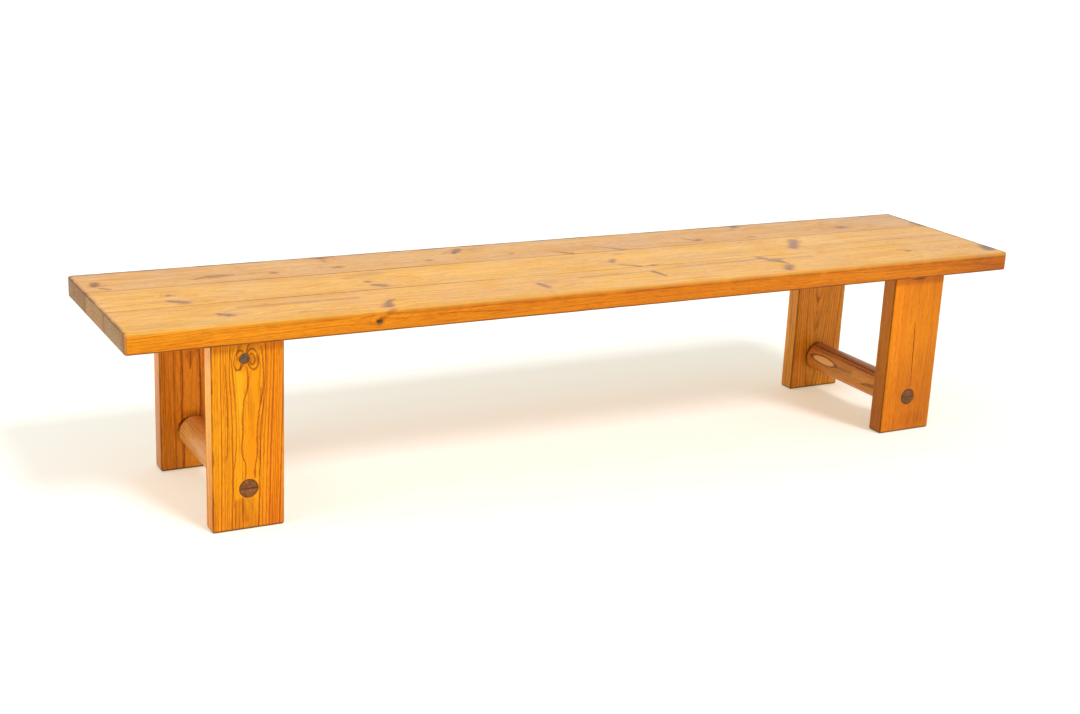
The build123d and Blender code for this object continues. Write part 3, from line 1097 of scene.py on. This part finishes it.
def dirty_rims(surface, patchy, at_rear):
    """Grey-brown dirt in patches along the ends of the seat, and along its rear edge."""
    x, y, _ = surface.position.parts()
    patches = surface.graph.noise_along(y * 0.021, 2.0)
    right = x.step(END_X - 14, END_X - 5) * patches.step(0.42, 0.58, 0.35, 1)
    left = x.step(-END_X + 2, -END_X + 8, 0.7, 0) * patches.step(0.36, 0.60, 0.5, 1)
    dirt = right.larger(left)
    if at_rear:
        dirt = dirt.larger(y.step(REAR_Y - 15, REAR_Y - 9) * patchy.step(0.38, 0.60, 0.45, 1))
    surface.tint(dirt * surface.facing[2].step(0.05, 0.30), (0.20, 0.15, 0.22))


def front_edge(surface, patchy):
    """The front of the seat: a painted highlight over its arris and just below it, dirt below that, and
    darker and redder to the right, partly the wood's own tone and partly painted shade where the light falls
    off.
    """
    x, _, z = surface.position.parts()
    rounding = arris_share(surface.facing)
    # Painted highlight over the upper rounding of the arris
    pale = surface.graph.mix(abs(x).step(500, 900), (0.90, 0.47, 0.12), (0.73, 0.34, 0.09))
    surface.paint(rounding * surface.up * surface.to_front(0.15, 0.4, 0, 0.8), pale)
    upright = abs(surface.facing[2]).step(0.25, 0.5, 0.85, 0)
    surface.paint(upright * rounding * x.step(-1000, -900, 1, 0), (0.52, 0.20, 0.04))
    front = surface.to_front(0.4, 0.9)
    # Darker and redder to the right: partly the wood's own tone, partly painted shade where the light falls
    # off along the bench
    surface.tint(front * x.step(-800, -50), (0.91, 0.82, 0.95))
    surface.tint(front * x.step(780, 1045), (0.70, 0.58, 0.80))
    surface.tint(front * z.step(386, 400, 0.5, 0), (0.88, 0.80, 0.84))
    band = z.step(409, 416) * patchy.step(0.34, 0.58, 0.15, 1) * x.step(-900, -500)
    surface.tint(front * band, (0.80, 0.66, 0.66))
    # Painted highlight: a pale band just under the arris
    surface.paint(front * z.step(415, 421.5, 0, 0.6), (0.76, 0.40, 0.07))
    surface.stain(SOOT, strokes(on_front_edge, EDGE_KNOT))
    surface.stain(DARK, strokes(on_front_edge, EDGE_STAINS))


def seat_marks(row_name, surface):
    """Streaks and clouds in the top and the left end, dirt and painted shade in the seams, and dirt on the
    rims. The left of the front planks and the right of all three are duller."""
    x, y, _ = surface.position.parts()
    for tint, rows in TOP_STAINS[row_name].items():
        surface.stain(tint, strokes(on_top, rows))
    surface.stain(DARK, strokes(on_left_end, END_STAINS[row_name]))
    patchy = surface.graph.noise_along(x * 0.014, 2.0)
    # Dirt and painted shade in the seams between the planks
    seam = abs(abs(y) - SEAM_Y).step(1.2, 2.8, 1, 0) * patchy.step(0.36, 0.62, 0.8, 1)
    seam = seam * (x.step(-900, -650, 0.5, 1) * x.step(-350, -200, 1, 0.6))
    if row_name != "rear":
        seam = seam * (1.0 - y.step(-20, 20, 1, 0) * x.step(450, 650, 0, 0.5))
    surface.tint(seam * surface.up, (0.46, 0.21, 0.06))
    if row_name != "rear":
        surface.tint(surface.up * x.step(-900, -350, 1, 0), (0.95, 0.94, 1.0))
    surface.tint(surface.up * x.step(600, 1040), (0.92, 0.90, 0.94))
    cut_end(surface, END_TINTS[row_name])
    dirty_rims(surface, patchy, row_name == "rear")
    if row_name == "front":
        front_edge(surface, patchy)


# Stains on the faces of the legs, and on the left rear leg painted shadows round the stretcher: rows for
# strokes(), by tint
LEG_STAINS_AND_SHADOWS = {
    "left_front": {
        BROWN: [
            (-831, 349, -828, 347, 6, 8, 0.9), (-882, 312, -882, 286, 3, 3, 0.9),
            (-882, 168, -880, 142, 3, 3, 0.8), (-883, 78, -882, 58, 3, 4, 0.9),
            (-853, 234, -852, 216, 5, 4, 0.5, 0.7), (-786, 286, -787, 256, 5, 6, 0.5, 0.7),
            (-799, 122, -798, 108, 5, 5, 0.5, 0.7),
        ],
        UMBER: [
            (-805, 345, -803, 347, 16, 14, 0.6), (-826, 376, -800, 378, 18, 14, 0.7, 0.7),
            (-824, 62, -816, 20, 12, 12, 0.9, 0.7), (-808, 62, -804, 10, 16, 20, 0.6, 0.8),
            (-836, 60, -836, 10, 10, 14, 0.5, 0.8),
        ],
    },
    "left_rear": {
        # Rows near x -840, z 100 paint the shadow in the gap round the left stretcher's shoulder; the rest
        # are stains
        BROWN: [
            (-818, 254, -818, 222, 16, 2, 0.8, 0.6), (-836, 100, -826, 114, 7, 6, 0.9),
            (-808, 262, -812, 244, 12, 4, 0.5, 0.6), (-847, 88, -843, 102, 4, 5, 1.2, 0.4),
            (-843, 102, -832, 113, 5, 4, 1.2, 0.4),
        ],
        UMBER: [
            # The first row paints the shadow above the stretcher on this leg; the rest are stains
            (-828, 122, -780, 122, 16, 14, 0.7, 0.7), (-864, 270, -864, 10, 44, 44, 0.65, 0.4),
            (-790, 262, -790, 120, 10, 10, 0.7, 0.6),
        ],
    },
    "right_front": {
        BROWN: [(810, 268, 817, 112, 1.8, 2.0, 1), (790, 373.5, 828, 374.5, 3, 3, 1.2, 0.3)],
        UMBER: [(790, 376, 820, 374, 14, 12, 0.6, 0.7), (780, 20, 850, 30, 30, 30, 0.4, 0.8)],
    },
    "right_rear": {
        BROWN: [(796, 254, 800, 236, 10, 7, 0.4, 0.6), (802, 196, 803, 112, 10, 14, 0.4, 0.6)],
        UMBER: [(744, 262, 742, 10, 8, 8, 0.5, 0.7), (800, 236, 802, 196, 9, 11, 0.6, 0.7)],
    },
}

# Strong rings that the log's own figure lacks, drawn up a leg: width, strength, (z, x) places
RING_LINES = {
    "left_front": [
        (2.8, 0.9, [(104, -819), (128, -817), (148, -822), (168, -825), (200, -822), (235, -822),
                    (262, -820), (278, -816), (298, -812), (315, -812), (332, -816)]),
        (2.8, 0.9, [(104, -799), (130, -798), (160, -794), (195, -794), (240, -790), (268, -785),
                    (300, -781), (352, -783), (374, -790)]),
        (2.2, 0.8, [(50, -840), (100, -842), (150, -838), (200, -835), (245, -836), (295, -839),
                    (366, -848)]),
        (2.2, 0.8, [(150, -856), (215, -852), (270, -853), (340, -857)]),
        (2.0, 0.7, [(60, -789), (120, -787), (190, -788), (250, -781), (310, -775), (374, -776)]),
    ],
    "left_rear": [
        (3.0, 0.9, [(6, -836), (60, -834), (130, -837), (200, -835), (274, -838)]),
        (3.4, 0.9, [(116, -799), (200, -797), (266, -800)]),
    ],
}
LINE_TINT = (0.50, 0.28, 0.60)
LINE_FADE = 6  # a line fades over this far each side of its end

# Plain earlywood between the wide rings of the left front leg: a row for strokes(), and the colour
CLEAR_BANDS = [
    ((-829, 318, -832, 70, 17, 17, 0.85), (1.00, 0.445, 0.010)),
    ((-799, 326, -807, 112, 24, 20, 0.85), (0.98, 0.345, 0.003)),
]
CLEAR_BAND_FOOT = (0.98, 0.82, 0.5)  # what the colour is multiplied by low down

# Painted shade and light on the face towards -X, set for each leg: tint low down, tint high up
LEFT_FACE_SHADING = {
    "left_front": ((0.80, 0.74, 0.30), (1.02, 1.20, 0.9)),
    "left_rear": ((0.66, 0.62, 0.20), (0.76, 0.72, 0.25)),
    "right_front": ((0.58, 0.60, 0.20), (0.56, 0.63, 0.25)),
    "right_rear": ((0.90, 0.90, 0.80), (1.0, 1.0, 1.0)),
}

# Rings that a knot pushed into closed loops round itself: middle (x, z), half widths, tilt in mm of x
# for each mm of z
KNOT_LOOPS = [
    ((-829, 346), (10, 19), 0.12),
    ((-802, 346), (11, 20.5), -0.10),
    ((-804, 346), (5.5, 11), -0.1),
]


def ring_line(x, z, width, strength, places):
    """strength on a line that wanders up a board through (z, x) places, and 0 away from it."""
    (low, _), (high, _) = places[0], places[-1]
    left = min(place for _, place in places)
    reach = max(place for _, place in places) - left
    made = x.graph.node("ShaderNodeFloatCurve")
    points = made.mapping.curves[0].points
    while len(points) < len(places):
        points.new(0.5, 0.5)
    for point, (height, place) in zip(points, places):
        point.location = ((height - low) / (high - low), (place - left) / reach)
    made.mapping.update()
    share = z.linear(1 / (high - low), -low / (high - low), clamp=True)
    centre = x.graph.join(made, Value=share).linear(reach, left)
    here = abs(x - centre).step(0.2 * width, 0.8 * width, strength, 0)
    faded = z.step(low - LINE_FADE, low + LINE_FADE) * z.step(high - LINE_FADE, high + LINE_FADE, 1, 0)
    return here * faded


def ring_lines(surface, lines):
    x, _, z = surface.shaken.parts()
    amount = largest(ring_line(x, z, *line) for line in lines)
    surface.tint(amount * surface.to_front(0.5, 0.9), LINE_TINT)


def oval(across, along, loop):
    """How far out a point lies from the middle of a tilted oval: 1 is on its line."""
    (middle_across, middle_along), (half_across, half_along), tilt = loop
    on = along - middle_along
    off = across - middle_across - on * tilt
    return on.graph.vector("LENGTH", on.graph.combine(off / half_across, on / half_along, 0.0))


def loop_lines(across, along, loops, thickness):
    """Thin oval lines in a plane. A loop is its middle, half widths, and tilt."""

    def line(loop):
        width = thickness / min(loop[1])
        return abs(oval(across, along, loop) - 1.0).step(0.3 * width, 1.3 * width, 0.8, 0)

    return largest(line(loop) for loop in loops)


def knot_loops(surface):
    """Thin dark lines along closed loops beside the big knot, which hides what lies under it."""
    x, _, z = surface.shaken.parts()
    ratio, _ = branch(surface.graph, surface.shaken, KNOTS["left_front"][0])
    return loop_lines(x, z, KNOT_LOOPS, 1.5) * ratio.step(0.95, 1.1)


def clear_bands(surface, z):
    for row, clear in CLEAR_BANDS:
        band = strokes(on_front_leg, [row])[0]
        lower = tuple(part * scale for part, scale in zip(clear, CLEAR_BAND_FOOT))
        tone = surface.graph.mix(z.step(160, 270), lower, clear)
        surface.paint(surface.near(band) * surface.fibres, tone)


def leg_marks(leg, surface):
    """Stains, painted shadows round the left stretcher and strong rings on the face that looks to the front,
    painted shade and light on the face towards -X, and painted shade along the foot.
    """
    x, _, z = surface.position.parts()
    if leg == "left_front":
        clear_bands(surface, z)
    for tint, rows in LEG_STAINS_AND_SHADOWS[leg].items():
        surface.stain(tint, strokes(on_front_leg if leg.endswith("front") else on_rear_leg, rows))
    if leg in RING_LINES:
        ring_lines(surface, RING_LINES[leg])
    # Painted shade and light on the face towards -X, changing with height
    surface.tint(surface.to_left(0.5, 0.95), surface.graph.mix(z.step(20, 260), *LEFT_FACE_SHADING[leg]))
    # Painted shade along the foot, where its eased bottom turns away from the light
    surface.tint(z.step(1, 7, 0.8, 0), (0.42, 0.32, 0.34))
    if leg == "right_front":
        surface.tint(z.step(60, 260, 1, 0), (0.77, 0.70, 0.65))
        surface.tint(1.0, surface.graph.mix(x.step(770, 860), (1.10, 1.08, 0.8), (0.90, 0.87, 0.7)))
    if leg == "left_front":
        front = surface.to_front(0.5, 0.9)
        surface.tint(front * x.step(-796, -765), (0.96, 0.78, 0.82))
        surface.tint(front * knot_loops(surface), BROWN)
        surface.tint(front * z.step(10, 100, 1, 0), (0.90, 0.82, 1.2))


# Rows for strokes() on a stretcher, where a place is y and an angle: dark lines and patches, and painted
# shadow in the gap at the rear shoulder
RAIL_STAINS_AND_SHADOWS = {
    # The left stretcher's rows are painted shadow in the gap where its shoulder meets the rear leg
    -1: [(155, 12, 155, 40, 8, 9, 1, 0.6), (155, 40, 155, 70, 9, 7, 1, 0.6)],
    1: [
        (150, 46, 80, 47, 3.2, 3.0, 1), (80, 47, 4, 48, 3.0, 3.4, 1), (4, 48, -110, 45, 3.4, 4.2, 1),
        (150, 63, 40, 64, 3.4, 3.4, 0.9, 0.7), (40, 64, -100, 59, 3.4, 3.4, 0.9, 0.7),
        (140, -4, 40, -6, 2.4, 2.2, 0.7), (40, -6, -70, 2, 2.2, 2, 0.6), (30, 13, -22, 19, 13, 12, 0.7, 0.8),
        # The last two rows are painted shadow in the gap at the rear shoulder
        (-70, -6, -116, 4, 5, 11, 1.2), (155, 70, 155, 35, 10, 12, 0.9, 0.6),
        (155, 35, 155, -5, 12, 8, 0.9, 0.6),
    ],
}
RAIL_TINT = (0.38, 0.30, 0.38)
RAIL_LENS = ((94, 85), (9, 49), 0.0)  # where the turning cut through a ring: middle (z, y), half widths
RAIL_PALE = (0.97, 0.54, 0.15)


def figure_of_rail(surface):
    """The right stretcher: a pale lens with a dark outline, painted shade and reflection of the seat on its
    upper side, and a yellower lower side.
    """
    _, y, z = surface.shaken.parts()
    left = surface.to_left(0.1, 0.4)
    surface.paint(oval(z, y, RAIL_LENS).step(0.70, 1, 0.9, 0) * left, RAIL_PALE)
    surface.tint(loop_lines(z, y, [RAIL_LENS], 1.6) * left, (0.30, 0.22, 0.26))
    # Painted shade and reflection: the upper side, under the seat, browner; the lower side yellower
    surface.tint(surface.facing[2].step(0.66, 0.86), (0.62, 0.74, 1.5))
    surface.tint(surface.facing[2].step(-0.30, 0.02, 1, 0), (1.04, 0.94, 0.60))


def rail_marks(side, surface):
    """Dark lines and patches, painted shadow in the gap where each shoulder meets its leg, and glue on the
    rim of each tenon's end.
    """
    x, y, z = surface.position.parts()
    if side > 0:
        figure_of_rail(surface)
    surface.stain(RAIL_TINT, strokes(partial(on_stretcher, side), RAIL_STAINS_AND_SHADOWS[side]))
    along = abs(y)
    # Painted shadow in the gap where each shoulder meets its leg
    shoulder = along.step(REAR_FACE_Y - 12, REAR_FACE_Y - 3)
    on_rail = along.step(REAR_FACE_Y + 1, REAR_FACE_Y + 3, 1, 0)
    surface.tint(shoulder * on_rail, (0.24, 0.18, 0.20))
    out = surface.graph.combine(x - side * LEG_X / MM, 0.0, z - RAIL_Z / MM)
    edge = TENON_RADIUS / MM
    rim = surface.graph.vector("LENGTH", out).step(edge - 3.2, edge - 0.8, 0, 0.8)
    at_end = along.step(LEG_OUTER_Y / MM - 3, LEG_OUTER_Y / MM - 1)
    surface.tint(rim * at_end, (0.45, 0.38, 0.42))
    cloud = surface.graph.noise(surface.position.scaled(0.07)).step(0.40, 0.62)
    surface.tint(cloud * at_end, (0.62, 0.72, 0.72))


# ---------------------------------------------------------------- the small hidden parts


def steel(name):
    """Zinc-plated screw steel, a little dulled."""
    material, graph, shader = new_material(name)
    cloud = graph.noise(graph.source("ShaderNodeTexCoord", "Object").scaled(900.0), 4.0, 0.6)
    graph.set(shader["Base Color"], graph.mix(cloud, (0.42, 0.40, 0.36), (0.66, 0.65, 0.62)))
    graph.set(shader["Roughness"], cloud.step(0.3, 0.7, 0.28, 0.5))
    graph.set(shader["Metallic"], 1.0)
    graph.set(shader["Normal"], graph.bump(cloud, 0.3, 0.05 * MM))
    return material


def paint_node(node, material):
    """Gives a CAD node that keeps its own shape a finished material."""
    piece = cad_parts[node]
    if not len(piece.material_slots):
        piece.data.materials.append(None)
    for slot in piece.material_slots:
        slot.link = "OBJECT"
        slot.material = material


def hidden_parts():
    tongue_birch = pine("tongue_birch", WOOD["tongue"])
    batten_pine = pine("batten_pine", WOOD["batten"], arris_shade=0.5)
    wedge_hardwood = pine("wedge_hardwood", WOOD["wedge"])
    screw_steel = steel("screw_steel")
    for face_name in FACES:
        paint_node(f"{face_name}_seam_tongue", tongue_birch)
    for side_name in SIDES:
        paint_node(f"{side_name}_batten", batten_pine)
        paint_node(f"{side_name}_batten_screws", screw_steel)
        for face_name in FACES:
            paint_node(f"{side_name}_{face_name}_wedge", wedge_hardwood)


# ---------------------------------------------------------------- stage

CAMERA_PLACE = (-1.7788, -3.1292, 1.3041)
CAMERA_HEADING = 28.554  # degrees from +Y towards +X
CAMERA_TILT = -16.974  # degrees above the horizon
CAMERA_ROLL = 2.666  # degrees, the right-hand side up
CAMERA_LENS = 56.197  # for a sensor 36 mm wide
SENSOR_WIDTH = 36.0

AMBIENT = 0.56
KEY_STRENGTH = 1.55
KEY_SPREAD = 14.0  # degrees across, which sets how soft the shadows are
KEY_DIRECTION = Vector((0.32, -0.92, 1.0)).normalized()
FILL_POWER = 30.0
FILL_SIZE = 1.6
FILL_PLACE = Vector((-3.4, -0.4, 0.95))
FILL_AIM = Vector((-0.9, 0.0, 0.2))
FLOOR_HALF = 60.0
FLOOR_DROP = 0.2 * MM
FLOOR_COLOUR = (0.90, 0.89, 0.91, 1.0)
FLOOR_GLOW = (0.33, 0.335, 0.235, 1.0)  # what the eye sees added, so that the open floor is white


def camera():
    data = bpy.data.cameras.new("camera")
    data.sensor_fit = "HORIZONTAL"
    data.sensor_width = SENSOR_WIDTH
    data.lens = CAMERA_LENS
    data.clip_start, data.clip_end = 0.05, 200.0
    eye = bpy.data.objects.new("camera", data)
    turn = Matrix.Rotation(math.radians(-CAMERA_HEADING), 4, "Z")
    turn @= Matrix.Rotation(math.radians(90 + CAMERA_TILT), 4, "X")
    turn @= Matrix.Rotation(math.radians(CAMERA_ROLL), 4, "Z")
    eye.matrix_world = Matrix.Translation(CAMERA_PLACE) @ turn
    bpy.context.scene.collection.objects.link(eye)
    bpy.context.scene.camera = eye


def seen_share(graph):
    """1 for rays that the eye follows, straight or in reflections, and 0 for rays that carry light."""
    path = graph.node("ShaderNodeLightPath").outputs
    rays = [Value(graph, path[f"Is {kind} Ray"]) for kind in ("Camera", "Glossy", "Transmission")]
    return rays[0].larger(rays[1]).larger(rays[2])


def sky():
    """A plain white surround. It is full white to the eye and in reflections, and softer as a light."""
    world = bpy.data.worlds.new("surround")
    world.use_nodes = True
    graph = Graph(world.node_tree)
    back = world.node_tree.nodes["Background"].inputs
    graph.set(back["Color"], (1.0, 1.0, 1.0, 1.0))
    graph.set(back["Strength"], seen_share(graph).linear(1.0 - AMBIENT, AMBIENT))
    bpy.context.scene.world = world


def place_light(name, kind, place, direction, **settings):
    data = bpy.data.lights.new(name, kind)
    for setting, value in settings.items():
        setattr(data, setting, value)
    lamp = bpy.data.objects.new(name, data)
    lamp.matrix_world = Matrix.Translation(place) @ direction.to_track_quat("Z", "Y").to_matrix().to_4x4()
    bpy.context.scene.collection.objects.link(lamp)
    return lamp


def lights():
    """A sun high in front and a little to the right, and a broad panel at the left that fades along
    the bench."""
    spread = math.radians(KEY_SPREAD)
    place_light("key", "SUN", KEY_DIRECTION * 4, KEY_DIRECTION, angle=spread, energy=KEY_STRENGTH)
    towards = (FILL_PLACE - FILL_AIM).normalized()
    fill = place_light("fill", "AREA", FILL_PLACE, towards, size=FILL_SIZE, energy=FILL_POWER)
    fill.visible_glossy = False  # or its mirror image burns out the top from some sides


def floor():
    bm = bmesh.new()
    corners = [(-1, -1), (1, -1), (1, 1), (-1, 1)]
    bm.faces.new([bm.verts.new((x * FLOOR_HALF, y * FLOOR_HALF, -FLOOR_DROP)) for x, y in corners])
    plane = piece_from(bm, "floor")
    material, graph, shader = new_material("floor")
    graph.set(shader["Base Color"], FLOOR_COLOUR)
    graph.set(shader["Roughness"], 0.8)
    graph.set(shader["Specular IOR Level"], 0.0)
    graph.set(shader["Emission Color"], FLOOR_GLOW)
    graph.set(shader["Emission Strength"], seen_share(graph))
    plane.data.materials.append(material)


camera()
sky()
lights()
floor()
bpy.context.scene.view_settings.view_transform = "Standard"

for row_name, row in ROWS.items():
    marks = partial(seat_marks, row_name)
    material = pine(f"{row_name}_seat_pine", WOOD[row_name], KNOTS[row_name], marks, 0.9)
    seat_plank(row_name, row, material)
for side_name, side in SIDES.items():
    marks = partial(rail_marks, side)
    stretcher(side_name, side, pine(f"{side_name}_rail_pine", WOOD[side_name], marks=marks))
    for face_name in FACES:
        leg = f"{side_name}_{face_name}"
        material = pine(f"{leg}_pine", WOOD[leg], KNOTS.get(leg, ()), partial(leg_marks, leg), 0.85)
        slab_leg(side_name, side, face_name, material)
hidden_parts()
